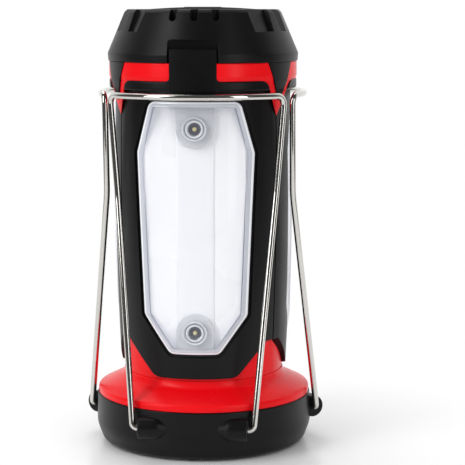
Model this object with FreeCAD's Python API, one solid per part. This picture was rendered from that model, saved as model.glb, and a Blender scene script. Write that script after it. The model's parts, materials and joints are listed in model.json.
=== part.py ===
"""Camping lantern with three light panels and three fold-out wire legs.

Millimetres, +Z up. The origin is the centre of the ring that the lantern stands on.
The front light panel faces -Y, and the other two are turned 120 degrees either way.
"""
import FreeCAD, Part
import math
import os

from FreeCAD import Vector

# Shared fits
touch_gap = 0.3
running_gap = 0.05
cut_margin = 1.0
panel_pitch = 120.0
half_pitch = panel_pitch / 2
panel_turns = {"front": 0.0, "right": panel_pitch, "left": 2 * panel_pitch}
corner_turns = {"right": half_pitch, "rear": 3 * half_pitch, "left": 5 * half_pitch}

# Base shell: the black cup that everything stands on
base_radius = 53.0
base_height = 24.3
base_wall = 2.6
base_foot_taper = 3.2
base_bottom_radius = base_radius - base_foot_taper
base_floor_level = 0.8
base_floor_thickness = 3.6
base_edge_round = 3.5
base_top_taper = 0.4
base_swell_share = 0.38
base_swell_round = 12.0
base_lip_round = 0.6
base_inner_share = 0.5
base_corner_wall = 1.04
base_inner_round = 2.0
door_keep_out = 2.0
pilot_floor = 1.0

# Hinge lugs and the wire that turns in them
wire_diameter = 3.0
pin_height = 15.8
pin_distance = 48.3
pin_depth = 8.5
lug_radius = 5.4
lug_outer_end = 26.0
lug_length = 15.0
lug_nose = 6.0
lug_nose_radius = 2.8
lug_edge_round = 0.9
leg_foot_offset = 28.7
leg_knee_offset = 37.6
leg_knee_distance = 30.2
leg_knee_height = 124.0
leg_corner_offset = 41.4
leg_corner_distance = 27.9
crossbar_height = 171.8
crossbar_distance = 48.9
leg_foot_bend = 2.4
leg_knee_bend = 60.0
leg_corner_bend = 4.5
crossbar_spans = 5
crossbar_bend_share = 0.9

# Red cover over the base
cover_rim_inset = 0.9
cover_rim_radius = base_radius - cover_rim_inset
cover_rim_height = 3.2
cover_wall = 2.4
cover_neck_height = 36.6
cover_edge_round = 1.6
cover_lip_round = 0.4
cover_slope = 5.0
cover_inner_drop = 1.2
cover_neck_wall = 0.5
cover_neck_step = 2.9
cover_neck_round = 4.0
cover_neck_edge = 0.3

# Red core that carries the panels
core_radius = 38.7
core_wall = 2.4
core_flange_thickness = 2.4
core_flange_drop = 4.6
core_window_depth = 1.8
collar_radius = 45.5
collar_top = 187.2
collar_taper = 0.4
collar_taper_height = 2.0
collar_edge_round = 0.5
spigot_height = 9.0
deck_level = 84.0
deck_thickness = 2.4
pillar_radius = 8.0
pillar_bore = 4.0

# Black frames round the light panels
frame_waist_radius = 42.9
frame_waist_height = 119.0
frame_bottom_radius = 40.6
frame_bottom = 37.9
frame_top_radius = 42.4
frame_half_angle = 59.4
shield_half_width = 19.5
shield_corner_round = 6.0
shield_point_half_width = 33.0
shield_point_height = 54.0
frame_point_half_width = 37.4
frame_point_height = 160.5
ledge_radius = 45.4
ledge_bottom = 174.2
ledge_top = 178.8
ledge_half_width = 33.6
ledge_bottom_round = 1.2
ledge_top_round = 0.8
frame_corner_round = 3.5
tab_half_width = 11.0
tab_top = 193.6
tab_radius = 45.7
tab_thickness = 3.6
tab_round = 1.2
tab_fillet = 1.8
tab_fillet_share = 0.98

# Lens, reflector tray and the two lamps of each panel
lens_top = 169.4
lens_top_half_width = 21.4
lens_upper_height = 145.2
lens_upper_half_width = 27.8
lens_lower_height = 68.0
lens_lower_half_width = 24.6
lens_bottom = 49.8
lens_bottom_half_width = 11.7
lens_corner_round = 4.0
lens_proud = 0.9
lens_thickness = 2.2
lens_bevel_width = 2.4
lens_bevel_depth = 1.2
frame_bevel = 1.4
frame_step_depth = 0.7
tray_back = 33.2
tray_wall = 1.3
lamp_housing_width = 17.6
lamp_housing_round_share = 0.98
lamp_housing_front = 36.8
lamp_ring_radius = 5.8
lamp_upper_margin = 5.9
lamp_lower_margin = 2.9
lamp_upper_height = lens_top - tray_wall - lamp_ring_radius - lamp_upper_margin
lamp_lower_height = lens_bottom + tray_wall + lamp_ring_radius + lamp_lower_margin
lamp_ring_wall = 1.6
lamp_ring_height = 1.6
lamp_board_thickness = 1.0
emitter_side = 3.4
emitter_height = 0.9

# Black corner trims between the red strips
trim_top_half_width = 9.4
trim_bottom_half_width = 0.9
trim_bottom_height = 169.5
trim_radius = 45.9
trim_foot_proud = 0.6
trim_edge_round = 0.6

# Cap, its plate and the push button
cap_top = 211.8
cap_top_radius = 38.0
cap_foot_radius = 46.2
cap_foot_height = 3.8
cap_wall = 2.6
cap_edge_round = 1.4
cap_foot_taper = 0.3
cap_foot_round = 0.5
cap_side_round = 1.5
cap_shoulder_round = 1.0
cap_rim_round = 0.8
cap_notch_half_width = 11.9
cap_notch_top = 198.0
cap_slot_width = 3.4
cap_slot_depth = 5.4
cap_slot_spacing = 10.0
cap_recess_half_angle = 25.0
cap_recess_height = 10.4
cap_recess_taper = 0.72
cap_rib_half_width = 3.4
cap_rib_taper = 0.6
cap_rib_turn = 4.0
plate_radius = 31.0
plate_thickness = 2.4
plate_drop = 0.4
plate_crown = 1.5
plate_screw_seat = 0.6
plate_ledge_width = 6.0
plate_ledge_thickness = 3.0
button_radius = 9.0
button_rise = 0.05
button_flange_thickness = 1.2
button_travel = 1.8
button_flange = 1.8
button_dish = 0.6
switch_side = 9.0
switch_height = 5.0
plunger_radius = 2.0
plunger_height = 1.0
board_radius = 25.0
board_thickness = 1.6

# Cells, their carrier and the door below them
cell_diameter = 26.2
cell_height = 50.0
cell_nub_radius = 3.2
cell_nub_height = 1.5
cell_ring_radius = 15.8
cell_bottom = 22.4
carrier_radius = 31.0
carrier_plate = 2.0
carrier_post_radius = 2.2
spring_wire = 0.8
spring_radius = 4.5
spring_height = 4.2
contact_thickness = 0.5
contact_radius = 5.0
door_radius = 33.0
door_thickness = 5.2
door_rise = 0.5
bayonet_reach = 2.6
bayonet_thickness = 2.0
bayonet_half_angle = 10.0
bayonet_slack = 1.5
bayonet_turn = 40.0
coin_slot_length = 26.0
coin_slot_width = 3.0
coin_slot_depth = 1.6
seal_height = 1.6
seal_depth = 1.4
seal_proud = 0.2
seal_level = 1.2

# Fasteners and feet
screw_radius = 1.4
screw_head_radius = 2.5
screw_slack = 0.2
screw_seat = 0.4
screw_head_height = 1.8
screw_length = 9.0
base_screw_circle = core_radius + screw_seat + screw_head_radius
core_flange_radius = base_screw_circle + screw_head_radius
plate_screw_circle = 28.0
plate_screw_length = 5.0
board_screw_circle = 20.0
boss_radius = 3.4
foot_radius = 4.0
foot_circle = 42.5
foot_recess = 1.2

far = 90.0
deep = 20.0
up = Vector(0, 0, 1)
centre = Vector(0, 0, 0)


def rounded_wire(corners, place):
    """Closed wire through (u, v, radius) corners, each rounded by a tangent arc."""
    count = len(corners)
    starts = []
    ends = []
    middles = []
    for index in range(count):
        u, v, radius = corners[index]
        here = Vector(u, v, 0)
        before = Vector(*corners[index - 1][:2], 0) - here
        after = Vector(*corners[(index + 1) % count][:2], 0) - here
        before.normalize()
        after.normalize()
        if radius <= 0:
            starts.append(here)
            ends.append(here)
            middles.append(None)
            continue
        half = before.getAngle(after) / 2
        reach = radius / math.tan(half)
        bisector = before + after
        bisector.normalize()
        starts.append(here + before * reach)
        ends.append(here + after * reach)
        middles.append(here + bisector * (radius / math.sin(half) - radius))
    edges = []
    for index in range(count):
        follow = (index + 1) % count
        if middles[index] is not None:
            arc = [place(p.x, p.y) for p in (starts[index], middles[index], ends[index])]
            edges.append(Part.Arc(*arc).toShape())
        if (starts[follow] - ends[index]).Length > 1e-6:
            line = [place(p.x, p.y) for p in (ends[index], starts[follow])]
            edges.append(Part.LineSegment(*line).toShape())
    return Part.Wire(edges)


def turned(corners):
    """Solid of revolution about Z from (radius, height, round) corners."""
    face = Part.Face(rounded_wire(corners, lambda r, z: Vector(r, 0, z)))
    return face.revolve(centre, up, 360)


def panel_prism(corners, near, out):
    """Prism on the front panel: (x, z, round) corners, from one distance to another."""
    face = Part.Face(rounded_wire(corners, lambda x, z: Vector(x, -near, z)))
    return face.extrude(Vector(0, near - out, 0))


def disc(radius, bottom, height, x=0.0, y=0.0):
    """Upright cylinder."""
    return Part.makeCylinder(radius, height, Vector(x, y, bottom), up)


def ring(inner, outer, bottom, height):
    """Upright tube."""
    return disc(outer, bottom, height).cut(disc(inner, bottom, height))


def spun(shape, degrees):
    """Copy of a shape turned about the lantern's axis."""
    copy = shape.copy()
    copy.rotate(centre, up, degrees)
    return copy


def three(shape, first=0.0):
    """Three copies of a shape, one panel pitch apart."""
    return [spun(shape, first + step * panel_pitch) for step in range(3)]


def cut_all(shape, tools):
    """Shape less every tool, tidied."""
    return shape.cut(tools).removeSplitter()


def join(first, others):
    """One solid from a shape and what is grown onto it."""
    return first.fuse(others).removeSplitter()


def wedge(half_angle, bottom, top):
    """Upright sector about the front panel's normal."""
    side = far * math.tan(math.radians(half_angle))
    corners = [Vector(0, 0, bottom), Vector(side, -far, bottom), Vector(-side, -far, bottom)]
    face = Part.Face(Part.makePolygon(corners + corners[:1]))
    return face.extrude(Vector(0, 0, top - bottom))


def barrel(proud, inner):
    """Shell that follows the panels' bulging outside, raised by proud, down to a radius."""
    low = Vector(frame_bottom_radius + proud, 0, frame_bottom - touch_gap)
    waist = Vector(frame_waist_radius + proud, 0, frame_waist_height)
    high = Vector(frame_top_radius + proud, 0, ledge_bottom)
    edges = [
        Part.Arc(low, waist, high).toShape(),
        Part.makeLine(high, Vector(inner, 0, high.z)),
        Part.makeLine(Vector(inner, 0, high.z), Vector(inner, 0, low.z)),
        Part.makeLine(Vector(inner, 0, low.z), low),
    ]
    return Part.Face(Part.Wire(edges)).revolve(centre, up, 360)


def lens_corners(grow):
    """Long eight-sided outline of the light panel, grown outwards by a margin."""
    half = [
        (lens_top_half_width, lens_top),
        (lens_upper_half_width, lens_upper_height),
        (lens_lower_half_width, lens_lower_height),
        (lens_bottom_half_width, lens_bottom),
    ]
    loop = half + [(-x, z) for x, z in reversed(half)]
    middle = (lens_top + lens_bottom) / 2
    grown = []
    for index, (x, z) in enumerate(loop):
        before = loop[index - 1]
        after = loop[(index + 1) % len(loop)]
        grown.append(grown_corner(before, (x, z), after, grow, (0, middle)))
    return [(x, z, lens_corner_round + grow) for x, z in grown]


def grown_corner(before, here, after, grow, inside):
    """Corner of an outline moved so that both of its sides shift outwards by grow."""
    normals = []
    for first, second in ((before, here), (here, after)):
        along = Vector(second[0] - first[0], second[1] - first[1], 0)
        along.normalize()
        normal = Vector(along.y, -along.x, 0)
        outwards = Vector(first[0] - inside[0], first[1] - inside[1], 0)
        if normal.dot(outwards) < 0:
            normal = normal * -1
        normals.append(normal)
    spread = 1 + normals[0].dot(normals[1])
    shift = (normals[0] + normals[1]) * (grow / spread)
    return here[0] + shift.x, here[1] + shift.y


def frame_corners(grow):
    """Outline of one black frame without its tab, grown outwards by a margin."""
    half = [
        (shield_half_width, frame_bottom - grow, shield_corner_round),
        (shield_point_half_width + grow, shield_point_height - grow, 0),
        (far, shield_point_height - grow, 0),
        (far, frame_point_height, 0),
        (frame_point_half_width + grow, frame_point_height, 0),
        (ledge_half_width + grow, ledge_top + grow, frame_corner_round),
    ]
    return half + [(-x, z, r) for x, z, r in reversed(half)]


def lug_corners(outer_end):
    """Half section of a bullet-shaped hinge lug along the pin, from its flat end."""
    nose = outer_end - lug_length
    return [
        (0, outer_end, 0),
        (lug_radius, outer_end, lug_edge_round),
        (lug_radius, nose + lug_nose, lug_nose),
        (lug_nose_radius, nose, lug_edge_round),
        (0, nose, 0),
    ]


def make_lug(side):
    """One hinge lug of the front leg with its blind pin hole. Returns the boss and the hole."""
    solid = turned(lug_corners(lug_outer_end))
    hole_radius = wire_diameter / 2 + running_gap
    hole = disc(hole_radius, lug_outer_end - pin_depth - touch_gap, far)
    placed = []
    for shape in (solid, hole):
        shape.rotate(centre, Vector(0, 1, 0), 90 * side)
        shape.translate(Vector(0, -pin_distance, pin_height))
        placed.append(shape)
    return placed


def make_base_shell():
    """Black cup with six hinge lugs, an open middle for the door and bosses for the cover."""
    top_radius = base_radius - base_top_taper
    floor_top = base_floor_level + base_floor_thickness
    hole = door_radius + touch_gap
    shell = turned([
        (hole, base_floor_level, 0),
        (base_bottom_radius, base_floor_level, base_edge_round),
        (base_radius, base_height * base_swell_share, base_swell_round),
        (top_radius, base_height, base_lip_round),
        (top_radius - base_wall, base_height, 0),
        (base_radius - base_wall, base_height * base_inner_share, 0),
        (base_bottom_radius - base_corner_wall, floor_top, base_inner_round),
        (hole, floor_top, 0),
    ])
    lugs = []
    holes = []
    for side in (1, -1):
        boss, pin_hole = make_lug(side)
        lugs += three(boss)
        holes += three(pin_hole)
    # The lugs stop short of the cell door and of the cover above
    keep = ring(hole + bayonet_reach + door_keep_out, far, base_floor_level, base_height - base_floor_level)
    bosses = three(disc(boss_radius, floor_top, flange_level() - floor_top, 0, base_screw_circle))
    pilot = disc(screw_radius, floor_top + pilot_floor, far, 0, base_screw_circle)
    notch = wedge(bayonet_half_angle + bayonet_slack, base_floor_level, floor_top)
    notch = notch.common(disc(hole + bayonet_reach, base_floor_level, base_floor_thickness))
    pads = three(disc(foot_radius + running_gap, 0, base_floor_level + foot_recess, 0, -foot_circle))
    shell = join(shell, [lug.common(keep) for lug in lugs] + bosses)
    return cut_all(shell, holes + three(pilot) + three(notch, bayonet_turn) + pads)


def make_base_cover():
    """Red flared cover that closes the base and rises to the neck."""
    rim_top = base_height + cover_rim_height
    neck = core_radius + cover_neck_wall
    cover = turned([
        (cover_rim_radius - cover_wall, base_height, 0),
        (cover_rim_radius, base_height, cover_lip_round),
        (cover_rim_radius, rim_top, cover_edge_round),
        (neck, cover_neck_height - cover_neck_step, cover_neck_round),
        (neck, cover_neck_height, cover_neck_edge),
        (core_radius, cover_neck_height, 0),
        (core_radius, cover_neck_height - cover_slope, 0),
        (cover_rim_radius - cover_wall, rim_top - cover_inner_drop, 0),
    ])
    return cover


def flange_level():
    """Underside of the core's flange, sunk into the base."""
    return base_height - core_flange_drop


def make_core_housing():
    """Red tube with three windows, a flange, a deck over the cells and the red upper collar."""
    inner = core_radius - core_wall
    flange_bottom = flange_level()
    tube = ring(inner, core_radius, flange_bottom, collar_top - flange_bottom)
    flange = ring(inner, core_flange_radius, flange_bottom, core_flange_thickness)
    carrier_top = cell_top() + contact_thickness + carrier_plate
    pillar = disc(pillar_radius, carrier_top, deck_level - carrier_top)
    bore = disc(pillar_bore, carrier_top, deck_level + deck_thickness - carrier_top)
    deck = disc(inner, deck_level, deck_thickness).fuse(pillar).cut(bore)
    spigot = ring(inner, core_radius - touch_gap, collar_top, spigot_height)
    collar = turned([
        (inner, frame_point_height + touch_gap, 0),
        (frame_top_radius + touch_gap, frame_point_height + touch_gap, 0),
        (collar_radius - collar_taper, ledge_top, 0),
        (collar_radius, ledge_top + collar_taper_height, 0),
        (collar_radius, collar_top, collar_edge_round),
        (inner, collar_top, 0),
    ])
    frame_bed = panel_prism(frame_corners(0.0), 0, far)
    beds = three(frame_bed) + [trim_prism(turn) for turn in corner_turns.values()]
    outside = ring(core_radius, far, 0, far * 3)
    tab_bed = panel_prism(box_corners(tab_half_width, ledge_bottom, far * 3), tab_back(), far)
    for prism in tab_fillets():
        beds += three(prism)
    collar = collar.cut([bed.common(outside) for bed in beds] + three(tab_bed))
    window = panel_prism(lens_corners(0.0), tray_back - core_window_depth, far)
    screw_hole = disc(screw_radius + screw_slack, 0, deck_level / 2, 0, base_screw_circle)
    core = tube.fuse([flange, deck, spigot, collar])
    return cut_all(core, three(window) + three(screw_hole))


def tab_fillets():
    """Two prisms that fill the corners between the ledge and the tab with a hollow curve."""
    inside = tab_half_width - cut_margin
    outside = tab_half_width + tab_fillet
    top = ledge_top + tab_fillet
    prisms = []
    for side in (1, -1):
        corners = [
            (inside * side, ledge_top - cut_margin, 0),
            (outside * side, ledge_top - cut_margin, 0),
            (outside * side, ledge_top, 0),
            (tab_half_width * side, ledge_top, tab_fillet * tab_fillet_share),
            (tab_half_width * side, top, 0),
            (inside * side, top, 0),
        ]
        prisms.append(panel_prism(corners, 0, far))
    return prisms


def box_corners(half_width, bottom, top, rounding=0.0):
    """Rectangle centred on the panel."""
    return [
        (-half_width, bottom, 0),
        (half_width, bottom, 0),
        (half_width, top, rounding),
        (-half_width, top, rounding),
    ]


def trim_corners():
    """Outline of a corner trim: a V that narrows downwards to a blunt tip."""
    half = [
        (trim_bottom_half_width, trim_bottom_height, 0),
        (trim_top_half_width, collar_top, 0),
    ]
    return half + [(-x, z, r) for x, z, r in reversed(half)]


def trim_prism(turn):
    """Prism through a corner with the outline of its trim."""
    return spun(panel_prism(trim_corners(), 0, far), turn)


def make_corner_trim(turn):
    """Black V trim set into the red collar at a corner."""
    skin = turned([
        (core_radius, frame_point_height, 0),
        (frame_top_radius + trim_foot_proud, frame_point_height, 0),
        (trim_radius, ledge_top, 0),
        (trim_radius, collar_top, trim_edge_round),
        (core_radius, collar_top, 0),
    ])
    return skin.common(trim_prism(turn)).removeSplitter()


def tab_back():
    """Distance of the tab's flat back from the axis."""
    return tab_radius - tab_thickness


def make_panel_frame():
    """Black frame of the front panel with its ledge, tab and bevelled lens opening."""
    body = barrel(0.0, core_radius)
    ledge = turned([
        (core_radius, ledge_bottom, 0),
        (ledge_radius, ledge_bottom, ledge_bottom_round),
        (ledge_radius, ledge_top, ledge_top_round),
        (core_radius, ledge_top, 0),
    ])
    sector = wedge(frame_half_angle, 0, far * 3)
    outline = panel_prism(frame_corners(0.0), 0, far)
    skin = body.fuse(ledge).common(sector).common(outline)
    tab = disc(tab_radius, ledge_bottom, tab_top - ledge_bottom)
    tab = tab.common(panel_prism(box_corners(tab_half_width, 0, tab_top, tab_round), tab_back(), far))
    opening = panel_prism(lens_corners(running_gap), 0, far)
    step = panel_prism(lens_corners(frame_bevel + running_gap), 0, far)
    step = step.common(barrel(cut_margin, core_radius))
    shallow = step.cut(barrel(-frame_step_depth, core_radius - cut_margin))
    trims = [trim_prism(half_pitch), trim_prism(-half_pitch)]
    rim = ring(core_radius, ledge_radius, ledge_bottom, tab_top - ledge_bottom)
    fillets = [prism.common(rim) for prism in tab_fillets()]
    return cut_all(skin.fuse([tab] + fillets), [opening, shallow] + trims)


def make_panel_lens():
    """Clear raised window with a bevelled rim."""
    shell = barrel(lens_proud, deep).cut(barrel(lens_proud - lens_thickness, deep))
    window = shell.common(panel_prism(lens_corners(0.0), 0, far)).removeSplitter()
    broad = sorted(window.Faces, key=lambda face: face.Area)[-2:]
    outer = min(broad, key=lambda face: face.CenterOfMass.y)
    return window.makeChamfer(lens_bevel_width, lens_bevel_depth, outer.Edges)


def make_reflector():
    """White tray behind the lens, open at the front."""
    mouth = barrel(lens_proud - lens_thickness, deep)
    outside = panel_prism(lens_corners(-running_gap), tray_back, far).common(mouth)
    inside = panel_prism(lens_corners(-tray_wall), tray_back + tray_wall, far)
    return outside.cut(inside).removeSplitter()


def lamp_heights():
    """Heights of the two lamps of a panel with the edge that each housing grows from."""
    return ((lamp_upper_height, lens_top - tray_wall), (lamp_lower_height, lens_bottom + tray_wall))


def make_lamp_housings():
    """Two U-shaped grey lamp seats that stand on the tray's back."""
    half = lamp_housing_width / 2
    seats = []
    for height, edge in lamp_heights():
        toward = 1 if edge > height else -1
        corners = [
            (-half, edge, 0),
            (half, edge, 0),
            (half, height - toward * half, half * lamp_housing_round_share),
            (-half, height - toward * half, half * lamp_housing_round_share),
        ]
        seats.append(panel_prism(corners, tray_back + tray_wall, lamp_housing_front))
    return Part.makeCompound(seats)


def lamp_stack(radius, near, depth):
    """Round pieces of both lamps, from a distance outwards."""
    pieces = []
    for height, _ in lamp_heights():
        pieces.append(Part.makeCylinder(radius, depth, Vector(0, -near, height), Vector(0, -1, 0)))
    return pieces


def make_lamp_boards():
    """Round lamp boards on the seats."""
    radius = lamp_ring_radius
    return Part.makeCompound(lamp_stack(radius, lamp_housing_front, lamp_board_thickness))


def make_emitters():
    """Square yellow emitters in the middle of each board."""
    front = lamp_housing_front + lamp_board_thickness
    half = emitter_side / 2
    chips = []
    for height, _ in lamp_heights():
        corners = box_corners(half, height - half, height + half)
        chips.append(panel_prism(corners, front, front + emitter_height))
    return Part.makeCompound(chips)


def make_lamp_rings():
    """Clear collars round the emitters."""
    front = lamp_housing_front + lamp_board_thickness
    outer = lamp_stack(lamp_ring_radius, front, lamp_ring_height)
    inner = lamp_stack(lamp_ring_radius - lamp_ring_wall, front, lamp_ring_height)
    return Part.makeCompound([ring_piece.cut(hole) for ring_piece, hole in zip(outer, inner)])


def rounded_path(points):
    """Open wire through (point, bend radius) pairs, with a tangent arc at each inner point."""
    edges = []
    last = points[0][0]
    for index in range(1, len(points) - 1):
        here, radius = points[index]
        before = points[index - 1][0] - here
        after = points[index + 1][0] - here
        before.normalize()
        after.normalize()
        half = before.getAngle(after) / 2
        reach = radius / math.tan(half)
        bisector = before + after
        bisector.normalize()
        start = here + before * reach
        end = here + after * reach
        middle = here + bisector * (radius / math.sin(half) - radius)
        if (start - last).Length > 1e-4:
            edges.append(Part.LineSegment(last, start).toShape())
        edges.append(Part.Arc(start, middle, end).toShape())
        last = end
    if (points[-1][0] - last).Length > 1e-4:
        edges.append(Part.LineSegment(last, points[-1][0]).toShape())
    return Part.Wire(edges)


def leg_points():
    """Route of one wire leg: pin, leg, crossbar, leg, pin, as (point, bend radius) pairs."""
    half_chord = leg_corner_offset
    rise = crossbar_distance - leg_corner_distance
    bar_radius = (half_chord ** 2 + rise ** 2) / (2 * rise)
    bar_centre = crossbar_distance - bar_radius
    half_turn = math.asin(half_chord / bar_radius)
    step = 2 * half_turn / crossbar_spans
    # Bar points stand outside the arc so that each bend touches it
    stand_off = bar_radius / math.cos(step / 2)
    pin_end = lug_outer_end - pin_depth
    foot = Vector(leg_foot_offset, -pin_distance, pin_height)
    knee = Vector(leg_knee_offset, -leg_knee_distance, leg_knee_height)
    corner = Vector(half_chord, -leg_corner_distance, crossbar_height)
    right = [
        (Vector(pin_end, -pin_distance, pin_height), 0),
        (foot, leg_foot_bend),
        (knee, leg_knee_bend),
        (corner, leg_corner_bend),
    ]
    bar = []
    for index in range(1, crossbar_spans):
        angle = half_turn - index * step
        x = stand_off * math.sin(angle)
        y = -bar_centre - stand_off * math.cos(angle)
        bar.append((Vector(x, y, crossbar_height), bar_radius * crossbar_bend_share))
    left = [(Vector(-p.x, p.y, p.z), bend) for p, bend in reversed(right)]
    return right + bar + left


def make_wire_leg():
    """Steel wire leg of the front panel, both pins turned inwards."""
    path = rounded_path(leg_points())
    start = path.Edges[0].Vertexes[0].Point
    section = Part.Wire(Part.makeCircle(wire_diameter / 2, start, Vector(-1, 0, 0)))
    return path.makePipeShell([section], True, True)


def cap_side_radius(height):
    """Radius of the cap's sloping side at a height."""
    low = collar_top + cap_foot_height
    high = cap_top - cap_edge_round
    share = (height - low) / (high - low)
    return cap_foot_radius + (cap_top_radius - cap_foot_radius) * share


def make_cap_shell():
    """Black cap with tab notches, grip slots and corner recesses."""
    foot = collar_top
    ledge_under = plate_level() - plate_ledge_thickness
    ledge_inner = plate_radius - plate_ledge_width
    cap = turned([
        (core_radius, foot, 0),
        (cap_foot_radius - cap_foot_taper, foot, cap_foot_round),
        (cap_foot_radius, foot + cap_foot_height, cap_side_round),
        (cap_top_radius, cap_top - cap_edge_round, cap_shoulder_round),
        (cap_top_radius - cap_edge_round, cap_top, cap_rim_round),
        (plate_radius, cap_top, cap_rim_round),
        (plate_radius, plate_level(), 0),
        (ledge_inner, plate_level(), 0),
        (ledge_inner, ledge_under, 0),
        (plate_radius, ledge_under, 0),
        (core_radius, collar_top + spigot_height, 0),
    ])
    notch_corners = box_corners(cap_notch_half_width, 0, cap_notch_top, tab_round)
    notch = panel_prism(notch_corners, tab_back() - touch_gap, far)
    pilot = disc(screw_radius, ledge_under, far, 0, plate_screw_circle)
    cuts = three(notch) + three(pilot)
    for index in (-1, 0, 1):
        half = cap_slot_width / 2
        low = cap_top - cap_slot_depth
        slot = panel_prism(box_corners(half, low + half, far * 3), 0, far)
        end = Part.makeCylinder(half, far, Vector(0, 0, low + half), Vector(0, -1, 0))
        slot = slot.fuse(end)
        slot = slot.common(ring(cap_top_radius - cap_wall, far, 0, far * 3))
        turn = math.degrees(cap_slot_spacing / cap_top_radius)
        cuts += three(slot, index * turn)
    # Recess at each corner: a flat cut above a level floor, with a rib left in its middle
    floor = cap_top - cap_recess_height
    top = cap_top + cut_margin
    head = cap_top_radius * math.cos(math.radians(cap_recess_half_angle))
    heel = cap_side_radius(floor) * math.cos(math.radians(cap_recess_half_angle * cap_recess_taper))
    side = [(heel, floor), (far, floor), (far, top), (head, top), (heel, floor)]
    face = Part.Face(Part.makePolygon([Vector(-far, -distance, height) for distance, height in side]))
    back = face.extrude(Vector(far * 2, 0, 0))
    rib_top = cap_rib_half_width * cap_rib_taper
    rib = panel_prism([
        (-cap_rib_half_width, floor, 0),
        (cap_rib_half_width, floor, 0),
        (rib_top, top, 0),
        (-rib_top, top, 0),
    ], 0, far)
    cuts += three(back.cut(spun(rib, cap_rib_turn)), half_pitch)
    return cut_all(cap, cuts)


def plate_level():
    """Underside of the cap's plate."""
    return cap_top - plate_drop - plate_thickness


def make_cap_plate():
    """Disc in the top of the cap with the button's hole and three screw holes."""
    edge = plate_radius - running_gap
    plate = disc(edge, plate_level(), plate_thickness + plate_crown)
    crown_radius = (edge ** 2 + plate_crown ** 2) / (2 * plate_crown)
    crown_centre = plate_level() + plate_thickness + plate_crown - crown_radius
    plate = plate.common(Part.makeSphere(crown_radius, Vector(0, 0, crown_centre)))
    hole = disc(button_radius + touch_gap, plate_level(), far)
    screw = disc(screw_radius + screw_slack, plate_level(), plate_thickness, 0, plate_screw_circle)
    seat = disc(screw_head_radius + screw_slack, plate_level() + plate_screw_seat, far, 0, plate_screw_circle)
    screw = screw.fuse(seat)
    post = disc(boss_radius, board_level(), plate_level() - board_level(), 0, board_screw_circle)
    pilot = disc(screw_radius, board_level(), plate_level() - board_level(), 0, board_screw_circle)
    return cut_all(join(plate, three(post, half_pitch)), [hole] + three(screw) + three(pilot, half_pitch))


def make_power_button():
    """Push button with a flange that keeps it under the plate."""
    low = plate_level() - touch_gap - button_flange_thickness
    top = plate_level() + plate_thickness + plate_crown + button_rise
    stem = disc(button_radius, low, top - low)
    flange = disc(button_radius + button_flange, low, button_flange_thickness)
    dish_radius = (button_radius ** 2 + button_dish ** 2) / (2 * button_dish)
    dish = Part.makeSphere(dish_radius, Vector(0, 0, top + dish_radius - button_dish))
    return cut_all(join(stem, [flange]), [dish])


def switch_level():
    """Top of the switch with the button at rest."""
    return plate_level() - button_flange_thickness - button_travel - 2 * touch_gap


def board_level():
    """Upper face of the main board."""
    return switch_level() - switch_height


def make_switch():
    """Square switch with a round plunger under the button."""
    body = Part.makeBox(switch_side, switch_side, switch_height - plunger_height)
    body.translate(Vector(-switch_side / 2, -switch_side / 2, board_level()))
    return join(body, [disc(plunger_radius, switch_level() - plunger_height, plunger_height)])


def make_main_board():
    """Round circuit board that hangs from the plate's posts and carries the switch."""
    board = disc(board_radius, board_level() - board_thickness, board_thickness)
    hole_height = board_level() - board_thickness
    hole = disc(screw_radius + running_gap, hole_height, board_thickness, 0, board_screw_circle)
    return cut_all(board, three(hole, half_pitch))


def cell_places():
    """Centres of the three cells, at the corners between the panels."""
    places = []
    for turn in corner_turns.values():
        angle = math.radians(turn)
        places.append((cell_ring_radius * math.sin(angle), -cell_ring_radius * math.cos(angle)))
    return places


def cell_top():
    """Level of the cells' upper contacts."""
    return cell_bottom + cell_height


def make_cells():
    """Three round cells with a raised positive end."""
    cells = []
    for x, y in cell_places():
        body = disc(cell_diameter / 2, cell_bottom, cell_height - cell_nub_height, x, y)
        cells.append(join(body, [disc(cell_nub_radius, cell_top() - cell_nub_height, cell_nub_height, x, y)]))
    return Part.makeCompound(cells)


def make_carrier():
    """Two round plates on a centre post that hold the cells."""
    low = cell_bottom - spring_height - carrier_plate
    high = cell_top() + contact_thickness
    lower = disc(carrier_radius, low, carrier_plate)
    upper = disc(carrier_radius, high, carrier_plate)
    post = disc(carrier_post_radius, low, high - low + carrier_plate)
    return join(lower, [upper, post])


def make_contact_springs():
    """Coiled negative contacts, as plain sleeves of the spring's outer shape."""
    springs = []
    low = cell_bottom - spring_height
    for x, y in cell_places():
        outer = disc(spring_radius, low, spring_height, x, y)
        springs.append(outer.cut(disc(spring_radius - spring_wire, low, spring_height, x, y)))
    return Part.makeCompound(springs)


def make_contact_plates():
    """Flat positive contacts above the cells."""
    return Part.makeCompound([disc(contact_radius, cell_top(), contact_thickness, x, y)
                              for x, y in cell_places()])


def make_battery_door():
    """Round door in the base that locks with a short turn of a coin."""
    bottom = base_floor_level + door_rise
    door = disc(door_radius, bottom, door_thickness)
    tab_level = base_floor_level + base_floor_thickness + touch_gap
    tab = wedge(bayonet_half_angle, tab_level, tab_level + bayonet_thickness)
    rim = door_radius - bayonet_reach
    tab = tab.common(ring(rim, door_radius + bayonet_reach, tab_level, bayonet_thickness))
    collar = ring(rim, door_radius, bottom, tab_level + bayonet_thickness - bottom)
    slot = Part.makeBox(coin_slot_length, coin_slot_width, coin_slot_depth)
    slot.translate(Vector(-coin_slot_length / 2, -coin_slot_width / 2, bottom))
    return cut_all(join(door, [collar] + three(tab)), [slot, seal_ring(door_radius + seal_proud)])


def seal_ring(outer):
    """Ring in the groove of the door's side."""
    return ring(door_radius - seal_depth, outer, base_floor_level + seal_level, seal_height)


def make_door_seal():
    """Rubber ring in the door's groove, a little proud of it."""
    return seal_ring(door_radius + seal_proud)


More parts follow.
